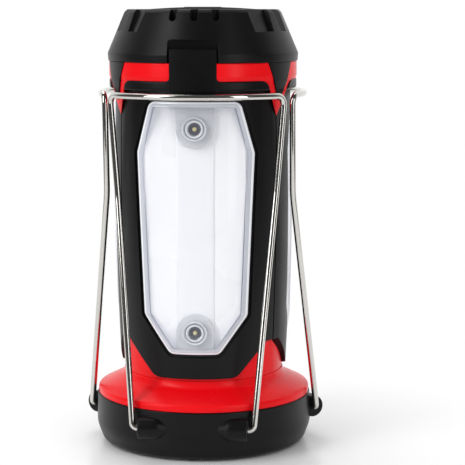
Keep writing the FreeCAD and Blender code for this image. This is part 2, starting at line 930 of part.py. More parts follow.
def make_screw(head_level, circle, length):
    """Upright screw whose head rests on a level."""
    shank = disc(screw_radius, head_level - length, length, 0, circle)
    return join(shank, [disc(screw_head_radius, head_level, screw_head_height, 0, circle)])


def make_base_screws():
    """Three screws through the core's flange into the base."""
    level = flange_level() + core_flange_thickness
    return Part.makeCompound(three(make_screw(level, base_screw_circle, screw_length)))


def make_plate_screws():
    """Three screws through the cap's plate into its ledge."""
    level = plate_level() + plate_screw_seat
    return Part.makeCompound(three(make_screw(level, plate_screw_circle, plate_screw_length)))


def make_board_screws():
    """Three screws from below that hold the main board to the plate's posts."""
    screw = make_screw(0, board_screw_circle, plate_screw_length)
    screw.rotate(centre, Vector(0, 1, 0), 180)
    screw.translate(Vector(0, 0, board_level() - board_thickness))
    return Part.makeCompound(three(screw, half_pitch))


def make_foot_pads():
    """Three round rubber feet set into the base."""
    height = base_floor_level + foot_recess
    return Part.makeCompound(three(disc(foot_radius, 0, height, 0, -foot_circle)))


def export(name, shape):
    """Write one piece."""
    shape.exportStep("parts/" + name + ".step")


def main():
    """Make and write every piece."""
    os.makedirs("parts", exist_ok=True)
    export("base_shell", make_base_shell())
    export("base_cover", make_base_cover())
    export("core_housing", make_core_housing())
    export("cap_shell", make_cap_shell())
    export("cap_plate", make_cap_plate())
    export("power_button", make_power_button())
    export("power_switch", make_switch())
    export("main_board", make_main_board())
    export("battery_cells", make_cells())
    export("battery_carrier", make_carrier())
    export("contact_springs", make_contact_springs())
    export("contact_plates", make_contact_plates())
    export("battery_door", make_battery_door())
    export("door_seal", make_door_seal())
    export("base_screws", make_base_screws())
    export("plate_screws", make_plate_screws())
    export("board_screws", make_board_screws())
    export("foot_pads", make_foot_pads())
    for place, turn in corner_turns.items():
        export("corner_trim_" + place, make_corner_trim(turn))
    panel_pieces = {
        "panel_frame": make_panel_frame(),
        "panel_lens": make_panel_lens(),
        "panel_reflector": make_reflector(),
        "lamp_housings": make_lamp_housings(),
        "lamp_boards": make_lamp_boards(),
        "lamp_emitters": make_emitters(),
        "lamp_rings": make_lamp_rings(),
        "wire_leg": make_wire_leg(),
    }
    for place, turn in panel_turns.items():
        for name, shape in panel_pieces.items():
            export(name + "_" + place, spun(shape, turn))


main()
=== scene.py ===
"""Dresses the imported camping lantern: finishes, smooth pieces, camera, floor and light.

Metres, +Z up, the front light panel faces -Y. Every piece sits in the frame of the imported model.
"""
import json
import logging
import math
from dataclasses import dataclass, field
from enum import Enum, IntEnum

import bmesh
import bpy
from mathutils import Matrix, Vector


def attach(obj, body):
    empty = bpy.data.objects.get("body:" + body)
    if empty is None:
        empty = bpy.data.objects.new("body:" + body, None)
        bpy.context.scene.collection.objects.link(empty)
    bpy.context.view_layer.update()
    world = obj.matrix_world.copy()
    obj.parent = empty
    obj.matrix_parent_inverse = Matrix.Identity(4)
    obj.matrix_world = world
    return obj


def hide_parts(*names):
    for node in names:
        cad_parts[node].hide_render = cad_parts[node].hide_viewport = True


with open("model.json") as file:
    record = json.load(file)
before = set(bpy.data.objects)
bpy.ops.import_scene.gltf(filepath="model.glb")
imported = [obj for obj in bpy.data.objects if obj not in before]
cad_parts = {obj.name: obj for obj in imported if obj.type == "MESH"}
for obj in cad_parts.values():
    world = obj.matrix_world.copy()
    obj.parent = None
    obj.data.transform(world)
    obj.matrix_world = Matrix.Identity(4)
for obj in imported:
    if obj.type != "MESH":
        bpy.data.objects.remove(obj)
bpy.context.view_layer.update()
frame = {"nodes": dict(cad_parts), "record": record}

log = logging.getLogger("lantern")
MM = 0.001
QUARTER_TURN = math.radians(90)
# Points of a mesh that are closer than this become one, in metres
MERGE_GAP = 1e-6
# Turned pieces look smooth where their faces meet at less than this angle
TURNED_ANGLE = math.radians(35)
# Place of a lamp piece's second finish in its list of slots
SECOND_FINISH = 1
# Share of the flow noise over which the gloss changes
FLOW_RANGE = (0.3, 0.7)
FLOW_DETAIL = 3.0
GRAIN_DETAIL = 2.0
GRAIN_STRENGTH = 0.5
RIPPLE_STRENGTH = 0.3
EDGE_SAMPLES = 6
WHITE = "FFFFFF"


class Panel(Enum):
    """The three light panels and how far each is turned about the axis, in degrees."""

    FRONT = 0.0
    RIGHT = 120.0
    LEFT = 240.0

    @property
    def place(self) -> str:
        """Word that the panel's nodes carry."""
        return self.name.lower()

    @property
    def turn(self) -> Matrix:
        """Turn that takes the front panel to this one."""
        return Matrix.Rotation(math.radians(self.value), 4, "Z")


def linear(code: str) -> tuple[float, float, float, float]:
    """Turn an sRGB hex colour into linear light.

    Args:
        code: Six hex digits.

    Returns:
        Red, green, blue and alpha.
    """
    parts = [int(code[start:start + 2], 16) / 255 for start in (0, 2, 4)]
    # The numbers are those of the sRGB transfer curve
    light = [part / 12.92 if part <= 0.04045 else ((part + 0.055) / 1.055) ** 2.4 for part in parts]
    return (*light, 1.0)


def add_node(tree: bpy.types.NodeTree, kind: str, links: dict | None = None, **values) -> bpy.types.Node:
    """Add one node, set its sockets and settings, and link what feeds it.

    Args:
        tree: Tree that gets the node.
        kind: Node type without its ShaderNode prefix.
        links: Input socket to the output socket that feeds it.
        **values: Node settings; a key "in_" plus a socket's name or number sets that input.

    Returns:
        The new node.
    """
    node = tree.nodes.new("ShaderNode" + kind)
    for key, value in values.items():
        if key.startswith("in_"):
            name = key.removeprefix("in_").replace("_", " ")
            node.inputs[int(name) if name.isdigit() else name].default_value = value
        else:
            setattr(node, key, value)
    for socket, source in (links or {}).items():
        tree.links.new(source, node.inputs[socket])
    return node


def blank_material(name: str) -> tuple[bpy.types.Material, bpy.types.NodeTree]:
    """Start a material with an empty tree.

    Args:
        name: The material's name.

    Returns:
        The material and its tree.
    """
    material = bpy.data.materials.new(name)
    material.use_nodes = True
    material.node_tree.nodes.clear()
    return material, material.node_tree


def open_to_lamps(tree: bpy.types.NodeTree, surface: bpy.types.NodeSocket, tint: str) -> bpy.types.NodeSocket:
    """Let lamp light pass through a surface instead of casting a solid shadow.

    Args:
        tree: The material's tree.
        surface: Shader seen by every other ray.
        tint: Colour that the passing light takes on.

    Returns:
        The mixed shader.
    """
    way = add_node(tree, "BsdfTransparent", in_Color=linear(tint))
    shadow = add_node(tree, "LightPath").outputs["Is Shadow Ray"]
    return add_node(tree, "MixShader", {0: shadow, 1: surface, 2: way.outputs[0]}).outputs[0]


@dataclass(frozen=True)
class OpaqueFinish:
    """Opaque surface with a fine grain, slow changes of tone and gloss, and softened edges.

    On plastic these are the tool's texture and the flow marks, on metal the pits and the draw marks.
    A real grain of a tenth of a millimetre or less is too fine to show, so it is drawn coarser.
    """

    name: str
    colour: str
    flow_colour: str
    roughness: float
    ior: float = 1.53
    grain_mm: float = 0.7
    grain_depth_mm: float = 0.02
    flow_mm: float = 22.0
    roughness_swing: float = 0.06
    specular: float = 0.5
    metallic: float = 0.0
    edge_mm: float = 0.45
    lets_light: bool = False

    def build(self) -> bpy.types.Material:
        """Make the material.

        Returns:
            The finished material.
        """
        material, tree = blank_material(self.name)
        where = add_node(tree, "TexCoord").outputs["Object"]
        flow = add_node(
            tree, "TexNoise", {"Vector": where}, in_Scale=1 / (self.flow_mm * MM), in_Detail=FLOW_DETAIL,
        )
        colour = add_node(
            tree, "Mix", {"Factor": flow.outputs[0]}, data_type="RGBA",
            in_6=linear(self.colour), in_7=linear(self.flow_colour),
        )
        grain = add_node(
            tree, "TexNoise", {"Vector": where}, in_Scale=1 / (self.grain_mm * MM), in_Detail=GRAIN_DETAIL,
        )
        gloss = add_node(
            tree, "MapRange", {"Value": flow.outputs[0]},
            in_From_Min=FLOW_RANGE[0], in_From_Max=FLOW_RANGE[1],
            in_To_Min=self.roughness - self.roughness_swing, in_To_Max=self.roughness + self.roughness_swing,
        )
        edge = add_node(tree, "Bevel", samples=EDGE_SAMPLES, in_Radius=self.edge_mm * MM)
        bump = add_node(
            tree, "Bump", {"Height": grain.outputs[0], "Normal": edge.outputs[0]},
            in_Strength=GRAIN_STRENGTH, in_Distance=self.grain_depth_mm * MM,
        )
        shader = add_node(
            tree, "BsdfPrincipled",
            {"Base Color": colour.outputs[2], "Roughness": gloss.outputs[0], "Normal": bump.outputs[0]},
            in_IOR=self.ior, in_Specular_IOR_Level=self.specular, in_Metallic=self.metallic,
        )
        surface = shader.outputs[0]
        if self.lets_light:
            surface = open_to_lamps(tree, surface, self.flow_colour)
        add_node(tree, "OutputMaterial", {"Surface": surface})
        return material


@dataclass(frozen=True)
class ClearPlastic:
    """Clear moulded polycarbonate that lets lamp light through to what is behind it."""

    name: str
    tint: str
    roughness: float = 0.03
    # Below the 1.58 of polycarbonate, for the weak glare in the photograph
    ior: float = 1.49
    glare: str = "707070"
    ripple_mm: float = 30.0
    ripple_depth_mm: float = 0.02

    def build(self) -> bpy.types.Material:
        """Make the material.

        Returns:
            The finished material.
        """
        material, tree = blank_material(self.name)
        where = add_node(tree, "TexCoord").outputs["Object"]
        ripple = add_node(tree, "TexNoise", {"Vector": where}, in_Scale=1 / (self.ripple_mm * MM))
        bump = add_node(
            tree, "Bump", {"Height": ripple.outputs[0]},
            in_Strength=RIPPLE_STRENGTH, in_Distance=self.ripple_depth_mm * MM,
        )
        shader = add_node(
            tree, "BsdfPrincipled", {"Normal": bump.outputs[0]}, in_Base_Color=linear(self.tint),
            in_Roughness=self.roughness, in_IOR=self.ior, in_Transmission_Weight=1.0,
            in_Specular_Tint=linear(self.glare),
        )
        surface = open_to_lamps(tree, shader.outputs[0], self.tint)
        add_node(tree, "OutputMaterial", {"Surface": surface})
        return material


# Satin ABS, spark-eroded tool: charcoal black with soft broad highlights
BLACK_ABS = OpaqueFinish("black_satin_abs", "0B0B0C", "0F0F10", 0.36, specular=0.17)
# The same ABS from a deeper-etched tool: dull, for the crowned top
DULL_ABS = OpaqueFinish("black_dull_abs", "0B0B0C", "101011", 0.8, specular=0.08, grain_depth_mm=0.03)
# Glossier ABS in a saturated signal red, polished tool: colour stays even, highlights are tighter
RED_ABS = OpaqueFinish(
    "red_gloss_abs", "EA0A14", "E40812", 0.27, specular=0.14, roughness_swing=0.01,
    grain_mm=1.2, grain_depth_mm=0.004, flow_mm=60.0,
)
# White ABS tray with a polished face: bright, slightly cool
WHITE_ABS = OpaqueFinish(
    "white_tray_abs", "FAFAFD", "F6F7FC", 0.3, grain_depth_mm=0.004, grain_mm=2.0, flow_mm=60.0,
)
# The same white with a finer tooth, a shade greyer, for the strip between the lamps
GUIDE_ABS = OpaqueFinish(
    "white_strip_abs", "F3F4F8", "F0F1F6", 0.36, grain_depth_mm=0.004, grain_mm=1.0, flow_mm=60.0,
)
# Grey ABS seat of the lamps, moulded: pale and even, half gloss
GREY_ABS = OpaqueFinish("grey_seat_abs", "D5D7DC", "CFD1D7", 0.3, grain_depth_mm=0.006)
# Pressed aluminium lamp cup, satin bright
CUP_ALUMINIUM = OpaqueFinish(
    "satin_aluminium_cup", "C9CCD2", "BDC0C8", 0.3, metallic=1.0, ior=1.5, grain_mm=0.4,
)
# Well round the emitter: mid grey, darker than the cup, dull
WELL_GREY = OpaqueFinish(
    "grey_lamp_well", "74767F", "6A6C75", 0.5, specular=0.12, grain_mm=0.4, grain_depth_mm=0.006,
)
# Groove and bore of the optic: acrylic too, painted darker as painted shade for the cup's shaded wall seen
# through it
OPTIC_PAINTED_SHADE = OpaqueFinish(
    "optic_acrylic_painted_shade", "A4A6AE", "989AA3", 0.12, grain_depth_mm=0.002, flow_mm=3.0,
)
# Milky-clear acrylic optic: light grey with bright, tight highlights
OPTIC_ACRYLIC = OpaqueFinish(
    "clear_optic_acrylic", "D3D6DC", "E6E8ED", 0.08, grain_depth_mm=0.002, flow_mm=3.0,
)
# Nitrile rubber, moulded: dull black with a fine tooth
RUBBER = OpaqueFinish("black_rubber", "141416", "1C1C1E", 0.62, grain_mm=0.5, grain_depth_mm=0.03)
# Green solder mask over copper, thin gloss with the tracks' unevenness below
SOLDER_MASK = OpaqueFinish("green_solder_mask", "1D5A34", "2A7042", 0.32, flow_mm=3.0)
# Yellow phosphor under cast clear silicone: pale, with a small tight highlight
PHOSPHOR = OpaqueFinish("yellow_phosphor", "E0D7AC", "D6CB98", 0.2, grain_mm=0.3, edge_mm=0.1)
# Cold-headed screw steel with zinc plate: greyish, finely pitted
ZINC_STEEL = OpaqueFinish(
    "zinc_plated_steel", "A9ACB2", "989BA3", 0.34, metallic=1.0, ior=1.5, grain_mm=0.4,
)
# The same screws with a black chromate: dark metal, half gloss
BLACK_STEEL = OpaqueFinish(
    "black_chromate_steel", "2B2B2E", "232326", 0.38, metallic=1.0, ior=1.5, grain_mm=0.4,
)
# Shrink sleeve on a drawn can: dark grey, smooth, half gloss
CELL_SLEEVE = OpaqueFinish("cell_sleeve", "3C4048", "4A4E57", 0.3, flow_mm=9.0)
# Bright-drawn steel wire with nickel plate: mirror, faintly warm, with slight draw marks
BRIGHT_WIRE = OpaqueFinish(
    "plated_steel_wire", "D9D7D2", "CDCBC6", 0.09, metallic=1.0, ior=1.5, roughness_swing=0.03,
    grain_mm=1.5, grain_depth_mm=0.002, flow_mm=9.0, edge_mm=0.1,
)
# Moulded edge of the window, painted near-white: a painted highlight where its clear outer corner catches
# light
RIM_PAINTED_HIGHLIGHT = OpaqueFinish(
    "window_edge_painted_highlight", "F8F9FD", "F0F2F8", 0.14, lets_light=True,
    grain_depth_mm=0.002, edge_mm=0.3,
)
# Thick clear border of the window, painted grey: painted shade for the tray's shaded wall seen through it
RIM_PAINTED_SHADE = OpaqueFinish(
    "window_border_painted_shade", "BFC1CB", "CDD0D8", 0.12, lets_light=True,
    grain_depth_mm=0.002, flow_mm=14.0,
)
# Clear polycarbonate window, moulded, untinted: what is behind shows plainly, with little glare
CLEAR_LENS = ClearPlastic("clear_polycarbonate", WHITE)

FINISHES = {
    "black_plastic": BLACK_ABS,
    "dull_black": DULL_ABS,
    "red_plastic": RED_ABS,
    "steel_wire": BRIGHT_WIRE,
    "clear_lens": CLEAR_LENS,
    "white_reflector": WHITE_ABS,
    "grey_seat": GREY_ABS,
    "circuit_board": SOLDER_MASK,
    "emitter": PHOSPHOR,
    "steel_screw": ZINC_STEEL,
    "black_screw": BLACK_STEEL,
    "cell_can": CELL_SLEEVE,
    "black_rubber": RUBBER,
    "strip": GUIDE_ABS,
    "cup": CUP_ALUMINIUM,
    "well": WELL_GREY,
    "optic": OPTIC_ACRYLIC,
    "groove": OPTIC_PAINTED_SHADE,
    "rim_edge": RIM_PAINTED_HIGHLIGHT,
    "rim_border": RIM_PAINTED_SHADE,
}

# Nodes whose finish differs from the rest of their slot
OWN_FINISH = {"cap_plate": "dull_black", "plate_screws": "black_screw"}


def deselect() -> None:
    """Deselect every object."""
    bpy.ops.object.select_all(action="DESELECT")


def only(piece: bpy.types.Object) -> None:
    """Make one object the selected and active one.

    Args:
        piece: The object.
    """
    deselect()
    piece.select_set(True)
    bpy.context.view_layer.objects.active = piece


@dataclass
class Wardrobe:
    """The finished materials, made once and handed out by slot."""

    made: dict = field(default_factory=dict)

    def of(self, slot: str) -> bpy.types.Material:
        """Hand out a slot's material, which is made when it is first asked for.

        Args:
            slot: A key of FINISHES.

        Returns:
            The material.
        """
        if slot not in self.made:
            self.made[slot] = FINISHES[slot].build()
        return self.made[slot]

    def dress(self, piece: bpy.types.Object, *slots: str) -> None:
        """Give a piece the materials of these slots, in order, and keep what its faces say of them.

        Args:
            piece: The piece or node.
            *slots: Keys of FINISHES.
        """
        worn = piece.data.materials
        for index, slot in enumerate(slots):
            if index < len(worn):
                worn[index] = self.of(slot)
            else:
                worn.append(self.of(slot))

    def dress_nodes(self) -> None:
        """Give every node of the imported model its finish."""
        slots = {row["node"]: row["material_slot"] for row in frame["record"]["subparts"]}
        for name, node in frame["nodes"].items():
            self.dress(node, OWN_FINISH.get(name, slots[name]))


def edit_mesh(piece: bpy.types.Object) -> bmesh.types.BMesh:
    """Open the mesh of the piece that is being edited, ready for selection in code.

    Args:
        piece: Object in edit mode.

    Returns:
        Its mesh, with points and faces numbered.
    """
    mesh = bmesh.from_edit_mesh(piece.data)
    mesh.verts.index_update()
    mesh.verts.ensure_lookup_table()
    mesh.faces.ensure_lookup_table()
    return mesh


def lathed(name: str, profile: list[tuple[float, float]], segments: int, closed: bool) -> bpy.types.Object:
    """Turn a piece on the Z axis by extruding a circle from one profile point to the next.

    Args:
        name: The piece's name.
        profile: (radius, height) points in millimetres; a radius of 0 closes the end.
        segments: Sides of the circle.
        closed: True where the last point meets the first.

    Returns:
        The new object, at the origin.
    """
    deselect()
    radius, height = profile[0]
    bpy.ops.mesh.primitive_circle_add(vertices=segments, radius=radius * MM, location=(0, 0, height * MM))
    piece = bpy.context.object
    bpy.ops.object.transform_apply(location=True, rotation=True, scale=True)
    piece.name = name
    bpy.ops.object.mode_set(mode="EDIT")
    bpy.ops.mesh.select_all(action="SELECT")
    for next_radius, next_height in profile[1:]:
        rise = (0, 0, (next_height - height) * MM)
        bpy.ops.mesh.extrude_region_move(TRANSFORM_OT_translate={"value": rise})
        if next_radius > 0:
            grow = next_radius / radius
            bpy.ops.transform.resize(value=(grow, grow, 1))
        else:
            bpy.ops.mesh.merge(type="CENTER")
        radius, height = next_radius, next_height
    bpy.ops.mesh.select_all(action="SELECT")
    if closed:
        bpy.ops.mesh.remove_doubles(threshold=MERGE_GAP)
    bpy.ops.mesh.normals_make_consistent(inside=False)
    bpy.ops.object.mode_set(mode="OBJECT")
    bpy.ops.object.shade_smooth_by_angle(angle=TURNED_ANGLE)
    return piece


def bend(before: Vector, here: Vector, after: Vector, radius: float, steps: int = 10) -> list[Vector]:
    """Points of the arc that rounds one corner of a route.

    Args:
        before: Corner before this one.
        here: The corner.
        after: Corner after it.
        radius: Radius of the bend.
        steps: Steps in the arc.

    Returns:
        Points from the start of the arc to its end.
    """
    one = (before - here).normalized()
    two = (after - here).normalized()
    half = one.angle(two) / 2
    middle = here + (one + two).normalized() * radius / math.sin(half)
    start = here + one * radius / math.tan(half) - middle
    end = here + two * radius / math.tan(half) - middle
    turn = start.rotation_difference(end)
    shares = [step / steps for step in range(steps + 1)]
    return [middle + Matrix.Rotation(turn.angle * share, 3, turn.axis) @ start for share in shares]


def rounded(corners: tuple) -> list[tuple[float, float]]:
    """Closed lathe profile with its corners rounded.

    Args:
        corners: (radius, height, round) in millimetres.

    Returns:
        (radius, height) points, the first one again at the end.
    """
    spots = [Vector((radius, 0, height)) for radius, height, _ in corners]
    rounds = [corner_round for _, _, corner_round in corners]
    points = []
    for index, (here, corner_round) in enumerate(zip(spots, rounds)):
        if corner_round:
            points += bend(spots[index - 1], here, spots[(index + 1) % len(spots)], corner_round)
        else:
            points.append(here)
    return [(point.x, point.z) for point in points + points[:1]]


def copies(source: bpy.types.Object, name: str, places: list[Matrix]) -> bpy.types.Object:
    """Copy a piece to several places and join the copies into one piece.

    Args:
        source: Piece modelled at the origin.
        name: Name of the joined piece.
        places: Where each copy goes.

    Returns:
        The joined piece.
    """
    made = []
    for place in places:
        piece = source.copy()
        piece.data = source.data.copy()
        piece.data.transform(place)
        bpy.context.scene.collection.objects.link(piece)
        made.append(piece)
    only(made[0])
    for piece in made[1:]:
        piece.select_set(True)
    if len(made) > 1:
        bpy.ops.object.join()
    joined = bpy.context.object
    joined.name = name
    return joined


def hang(piece: bpy.types.Object, body: str, slot: str, *nodes: str) -> None:
    """Give a finished piece its body and hide the nodes that it stands for.

    Args:
        piece: The finished piece.
        body: Body that it rides on.
        slot: The record's material slot; not used.
        *nodes: Nodes that it replaces.
    """
    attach(piece, body)
    if nodes:
        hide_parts(*nodes)
    log.info("made %s", piece.name)


@dataclass(frozen=True)
class Barrel:
    """The bulging outside of the panels: an upright arc turned about the axis, in millimetres."""

    low: tuple[float, float] = (40.6, 37.6)
    waist: tuple[float, float] = (42.9, 119.0)
    high: tuple[float, float] = (42.4, 174.2)

    def radius(self, height: float) -> float:
        """Distance from the axis at a height.

        Args:
            height: Height in millimetres.

        Returns:
            Radius in millimetres.
        """
        (x1, y1), (x2, y2), (x3, y3) = self.low, self.waist, self.high
        square1, square2, square3 = (x * x + y * y for x, y in (self.low, self.waist, self.high))
        # Centre of the circle through the three points
        scale = 2 * (x1 * (y2 - y3) + x2 * (y3 - y1) + x3 * (y1 - y2))
        middle_x = (square1 * (y2 - y3) + square2 * (y3 - y1) + square3 * (y1 - y2)) / scale
        middle_y = (square1 * (x3 - x2) + square2 * (x1 - x3) + square3 * (x2 - x1)) / scale
        bow = math.hypot(x2 - middle_x, y2 - middle_y)
        return middle_x + math.sqrt(bow ** 2 - (height - middle_y) ** 2)


class WindowFace(IntEnum):
    """Finishes of a window, by their place in its list of slots."""

    PANE = 0
    # Edge faces: the painted highlight along the window's outer corner
    EDGE = 1
    # Border faces: painted grey as painted shade from the tray's wall behind them
    BORDER = 2


@dataclass
class Windows:
    """Three clear windows, their edge a painted highlight in near-white and their bevelled border painted
    shade in grey, in millimetres.

    Each ring is (inset from the outline, level over the barrel).
    """

    wardrobe: Wardrobe
    barrel: Barrel = field(default_factory=Barrel)
    half_outline: tuple = ((21.4, 169.4), (27.8, 145.2), (24.6, 68.0), (11.7, 49.8))
    corner_round: float = 4.0
    rings: tuple = ((0.0, -0.3), (0.35, 0.15), (0.95, 0.45), (1.7, 0.7), (2.5, 0.9))
    edge_rings: int = 2
    spine: tuple[float, float] = (64.0, 156.0)
    spine_steps: tuple = (0.25, 0.5, 0.75, 1.0)
    arc_steps: int = 5
    side_steps: int = 9
    thickness: float = 2.2
    smooth_angle: float = 20.0

    def outline(self, inset: float) -> list[Vector]:
        """Rounded eight-sided outline in the panel's plane, with the same points for every inset.

        Args:
            inset: How far inside the outer edge, in millimetres.

        Returns:
            Points (x, z) in millimetres.
        """
        loop = [Vector(corner) for corner in self.half_outline]
        loop += [Vector((-x, z)) for x, z in reversed(self.half_outline)]
        points = []
        for before, here, after in zip(loop[-1:] + loop[:-1], loop, loop[1:] + loop[:1]):
            one = (before - here).normalized()
            two = (after - here).normalized()
            half = one.angle(two) / 2
            bisector = (one + two).normalized()
            middle = here + bisector * self.corner_round / math.sin(half)
            reach = self.corner_round / math.tan(half)
            start = (here + one * reach - middle).normalized()
            turn = start.angle_signed((here + two * reach - middle).normalized())
            arc = []
            for step in range(self.arc_steps + 1):
                spoke = start.copy()
                spoke.rotate(Matrix.Rotation(-turn * step / self.arc_steps, 2))
                arc.append(middle + spoke * (self.corner_round - inset))
            if points:
                points += self.side(points[-1], arc[0])
            points += arc
        return points + self.side(points[-1], points[0])

    def side(self, start: Vector, end: Vector) -> list[Vector]:
        """Points between the ends of a straight side."""
        return [start.lerp(end, step / self.side_steps) for step in range(1, self.side_steps)]

    def placed(self, point: Vector, level: float) -> Vector:
        """Point of the panel's plane put on the barrel, raised by a level in millimetres."""
        radius = self.barrel.radius(point.y) + level
        return Vector((point.x, -math.sqrt(radius ** 2 - point.x ** 2), point.y)) * MM

    def finish_of(self, row: int) -> WindowFace:
        """Finish of the faces between one row of points and the next.

        Args:
            row: Number of the row, from the edge inwards.

        Returns:
            The finish.
        """
        if row >= len(self.rings) - 1:
            return WindowFace.PANE
        return WindowFace.EDGE if row < self.edge_rings else WindowFace.BORDER

    def rows(self) -> list[list[Vector]]:
        """Rows of points of the front window, from its edge to the line down its middle.

        Returns:
            Rows of equally many points, in metres.
        """
        rows = [[self.placed(point, level) for point in self.outline(inset)] for inset, level in self.rings]
        inner = self.outline(self.rings[-1][0])
        for share in self.spine_steps:
            row = []
            for point in inner:
                spine = Vector((0, min(max(point.y, self.spine[0]), self.spine[1])))
                row.append(self.placed(point.lerp(spine, share), self.rings[-1][1]))
            rows.append(row)
        return rows

    def front(self) -> bpy.types.Object:
        """Model the front window by extruding a ring from one row of points to the next.

        Returns:
            The finished window, with its edge and border faces marked.
        """
        rows = self.rows()
        deselect()
        bpy.ops.mesh.primitive_circle_add(vertices=len(rows[0]), radius=1)
        piece = bpy.context.object
        bpy.ops.object.mode_set(mode="EDIT")
        bpy.ops.mesh.select_all(action="SELECT")
        mesh = edit_mesh(piece)
        for vert, spot in zip(mesh.verts, rows[0]):
            vert.co = spot
        place = {vert.index: vert.index for vert in mesh.verts}
        for index, row in enumerate(rows[1:]):
            before, known = len(mesh.faces), len(mesh.verts)
            bpy.ops.mesh.extrude_edges_move()
            mesh = edit_mesh(piece)
            # A new point takes the place in the row of the point that it was pulled from
            for vert in mesh.verts[known:]:
                others = [edge.other_vert(vert).index for edge in vert.link_edges]
                place[vert.index] = place[min(others)]
                vert.co = row[place[vert.index]]
            finish = self.finish_of(index)
            for face in mesh.faces[before:]:
                face.material_index = finish.value
        bmesh.update_edit_mesh(piece.data)
        bpy.ops.mesh.select_all(action="SELECT")
        bpy.ops.mesh.remove_doubles(threshold=MERGE_GAP)
        bpy.ops.mesh.normals_make_consistent(inside=False)
        mesh = edit_mesh(piece)
        if sum(face.normal.y for face in mesh.faces) > 0:
            bpy.ops.mesh.flip_normals()
        bpy.ops.object.mode_set(mode="OBJECT")
        only(piece)
        wall = piece.modifiers.new("wall", "SOLIDIFY")
        wall.thickness = self.thickness * MM
        wall.offset = -1
        bpy.ops.object.modifier_apply(modifier="wall")
        bpy.ops.object.shade_smooth_by_angle(angle=math.radians(self.smooth_angle))
        return piece

    def build(self) -> None:
        """Copy the front window to each panel and dress it."""
        piece = self.front()
        for panel in Panel:
            window = copies(piece, "window_" + panel.place, [panel.turn])
            self.wardrobe.dress(window, "clear_lens", "rim_edge", "rim_border")
            hang(window, "housing", "clear_lens", "panel_lens_" + panel.place)
        bpy.data.objects.remove(piece)


@dataclass
class Lamps:
    """Two lamps per panel: a bright cup with a grey well, a ringed clear optic and a yellow emitter.

    Profiles are (radius, height) in millimetres. The well, groove and bore have a second finish, on the
    faces between two radii and above a height; on the groove and bore that finish is painted shade.
    """

    wardrobe: Wardrobe
    heights: tuple[float, float] = (156.4, 59.8)
    seat: float = 36.8
    segments: int = 48
    well: tuple[float, float, float] = (0.0, 2.9, 0.0)
    groove: tuple[float, float, float] = (4.1, 4.8, 1.2)
    bore: tuple[float, float, float] = (0.0, 3.25, 1.1)
    cup: tuple = (
        (5.8, 0.0), (5.8, 0.85), (5.6, 1.0), (3.15, 1.0), (2.95, 0.85), (2.6, 0.35), (1.4, 0.25), (0, 0.25),
    )
    optic: tuple = (
        (3.2, 1.0), (3.2, 1.7), (3.35, 2.05), (3.7, 2.2), (4.15, 2.1), (4.4, 1.7), (4.75, 1.65), (4.95, 2.0),
        (5.2, 2.35), (5.5, 2.4), (5.75, 2.1), (5.8, 1.0), (3.2, 1.0),
    )
    emitter: tuple = ((1.0, 0.25), (1.0, 0.55), (0.9, 0.95), (0.65, 1.2), (0.35, 1.32), (0, 1.35))

    def places(self, panel: Panel) -> list[Matrix]:
        """Seats of a panel's two lamps.

        Args:
            panel: The panel.

        Returns:
            One placing per lamp, which turns the lathe's axis outwards.
        """
        out = Matrix.Rotation(QUARTER_TURN, 4, "X")
        spots = [Vector((0, -self.seat, height)) * MM for height in self.heights]
        return [panel.turn @ Matrix.Translation(spot) @ out for spot in spots]

    def mark(self, piece: bpy.types.Object, inner: float, outer: float, above: float) -> None:
        """Give the faces between two radii the piece's second finish.

        Args:
            piece: Turned piece, still on the lathe's axis.
            inner: Inner radius in millimetres.
            outer: Outer radius in millimetres.
            above: Height that the faces have to pass, in millimetres.
        """
        for face in piece.data.polygons:
            if inner * MM < face.center.xy.length < outer * MM and face.center.z > above * MM:
                face.material_index = SECOND_FINISH

    def build(self) -> None:
        """Turn each piece once and seat it in every panel."""
        cup = lathed("cup", list(self.cup), self.segments, False)
        self.wardrobe.dress(cup, "cup", "well")
        self.mark(cup, *self.well)
        optic = lathed("optic", list(self.optic), self.segments, True)
        self.wardrobe.dress(optic, "optic", "groove")
        # The groove and the bore take the painted shade
        self.mark(optic, *self.groove)
        self.mark(optic, *self.bore)
        emitter = lathed("emitter", list(self.emitter), self.segments // 2, False)
        self.wardrobe.dress(emitter, "emitter")
        kit = (
            (cup, "lamp_cups_", "grey_seat", "lamp_boards_"),
            (optic, "lamp_optics_", "clear_lens", "lamp_rings_"),
            (emitter, "lamp_domes_", "emitter", "lamp_emitters_"),
        )
        for panel in Panel:
            places = self.places(panel)
            for source, name, slot, node in kit:
                piece = copies(source, name + panel.place, places)
                hang(piece, "housing", slot, node + panel.place)
        for source in (cup, optic, emitter):
            bpy.data.objects.remove(source)


